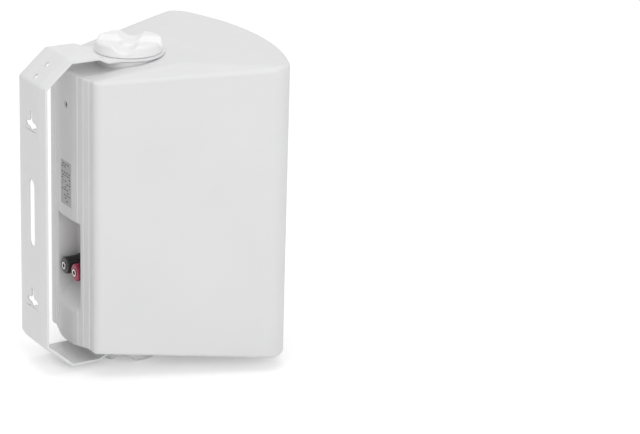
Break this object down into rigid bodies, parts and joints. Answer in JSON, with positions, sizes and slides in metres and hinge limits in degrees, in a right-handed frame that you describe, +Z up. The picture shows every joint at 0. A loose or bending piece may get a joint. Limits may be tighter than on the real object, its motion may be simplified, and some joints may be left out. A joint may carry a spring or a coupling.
{
  "type": "installation speaker",
  "caption": "Wedge-shaped two-way installation speaker held top and bottom in a swivelling U bracket by threaded hand knobs, with screw terminals in a rear recess.",
  "frame": {"origin": "middle of the bounding box's bottom face, under the bracket's swivel plane", "axes": "+Z up along the cabinet's height, -Y towards the grille, +Y towards the bracket's strap, X across the width"},
  "size_m": [0.1902, 0.206, 0.2702],
  "materials": {
    "shell": "fine moulded texture",
    "bracket_coat": "powder coat, satin",
    "knob": "smooth moulded",
    "grille": "perforated, powder coat",
    "cloth": "fine knit",
    "black_plastic": "matt moulded",
    "driver_frame": "matt moulded",
    "foam": "closed cell foam",
    "surround": "satin rubber",
    "cone": "coated pulp",
    "spider": "resin-dipped weave",
    "copper": "enamelled wire",
    "plated_steel": "zinc plated",
    "ferrite": "ground ferrite",
    "screw_steel": "black oxide",
    "silk": "doped silk",
    "board": "solder mask",
    "capacitor_sleeve": "shrink sleeve",
    "resistor_body": "unglazed",
    "label": "matt print face",
    "nickel": "nickel plated",
    "brass_part": "turned",
    "red_plastic": "moulded, translucent red",
    "felt": "needled polyester"
  },
  "bodies": {
    "bracket": {"bracket": "bracket_coat"},
    "top_knob": {"top_knob": "knob", "top_stud": "plated_steel"},
    "bottom_knob": {"bottom_knob": "knob", "bottom_stud": "plated_steel"},
    "black_cap": {"black_post_cap": "black_plastic"},
    "red_cap": {"red_post_cap": "red_plastic"},
    "woofer_moving": {"woofer_cone": "cone", "dust_cap": "cone", "voice_coil": "copper"},
    "tweeter_moving": {"tweeter_dome": "silk", "tweeter_coil": "copper"},
    "cabinet": {"cabinet_shell": "shell", "front_baffle": "black_plastic", "baffle_seal": "foam", "baffle_screws": "screw_steel", "grille": "grille", "grille_cloth": "cloth", "woofer_basket": "driver_frame", "woofer_gasket": "foam", "woofer_surround": "surround", "woofer_spider": "spider", "woofer_top_plate": "plated_steel", "woofer_magnet": "ferrite", "woofer_yoke": "plated_steel", "woofer_screws": "screw_steel", "tweeter_faceplate": "driver_frame", "tweeter_magnet": "ferrite", "tweeter_screws": "screw_steel", "crossover_board": "board", "crossover_coil": "copper", "crossover_capacitors": "capacitor_sleeve", "crossover_resistor": "resistor_body", "board_screws": "plated_steel", "rear_screw": "screw_steel", "rear_label": "label", "black_post_collar": "black_plastic", "red_post_collar": "red_plastic", "post_studs": "nickel", "post_nuts": "brass_part", "damping_pads": "felt", "top_insert": "brass_part", "bottom_insert": "brass_part", "top_washer": "black_plastic", "bottom_washer": "black_plastic"}
  },
  "joints": [
    {"name": "swivel", "type": "hinge", "parent": "bracket", "child": "cabinet", "pos_m": [0, 0.016, 0.1351], "axis": [0, 0, 1], "range_deg": [-65, 65]},
    {"name": "top_knob_turn", "type": "hinge", "parent": "cabinet", "child": "top_knob", "pos_m": [0, 0.016, 0.26], "axis": [0, 0, 1], "range_deg": [0, 360]},
    {"name": "bottom_knob_turn", "type": "hinge", "parent": "cabinet", "child": "bottom_knob", "pos_m": [0, 0.016, 0.01], "axis": [0, 0, 1], "range_deg": [-360, 0]},
    {"name": "black_cap_turn", "type": "hinge", "parent": "cabinet", "child": "black_cap", "pos_m": [0.0095, 0.06, 0.0811], "axis": [0, 1, 0], "range_deg": [0, 360]},
    {"name": "red_cap_turn", "type": "hinge", "parent": "cabinet", "child": "red_cap", "pos_m": [-0.0095, 0.06, 0.0811], "axis": [0, 1, 0], "range_deg": [0, 360]},
    {"name": "woofer_travel", "type": "slide", "parent": "cabinet", "child": "woofer_moving", "axis": [0, -1, 0], "range_m": [-0.003, 0.003], "stiffness_N_per_m": 900, "deforming": ["woofer_surround", "woofer_spider"]},
    {"name": "tweeter_travel", "type": "slide", "parent": "cabinet", "child": "tweeter_moving", "axis": [0, -1, 0], "range_m": [-0.0003, 0.0003], "stiffness_N_per_m": 500, "deforming": ["tweeter_dome"]}
  ]
}
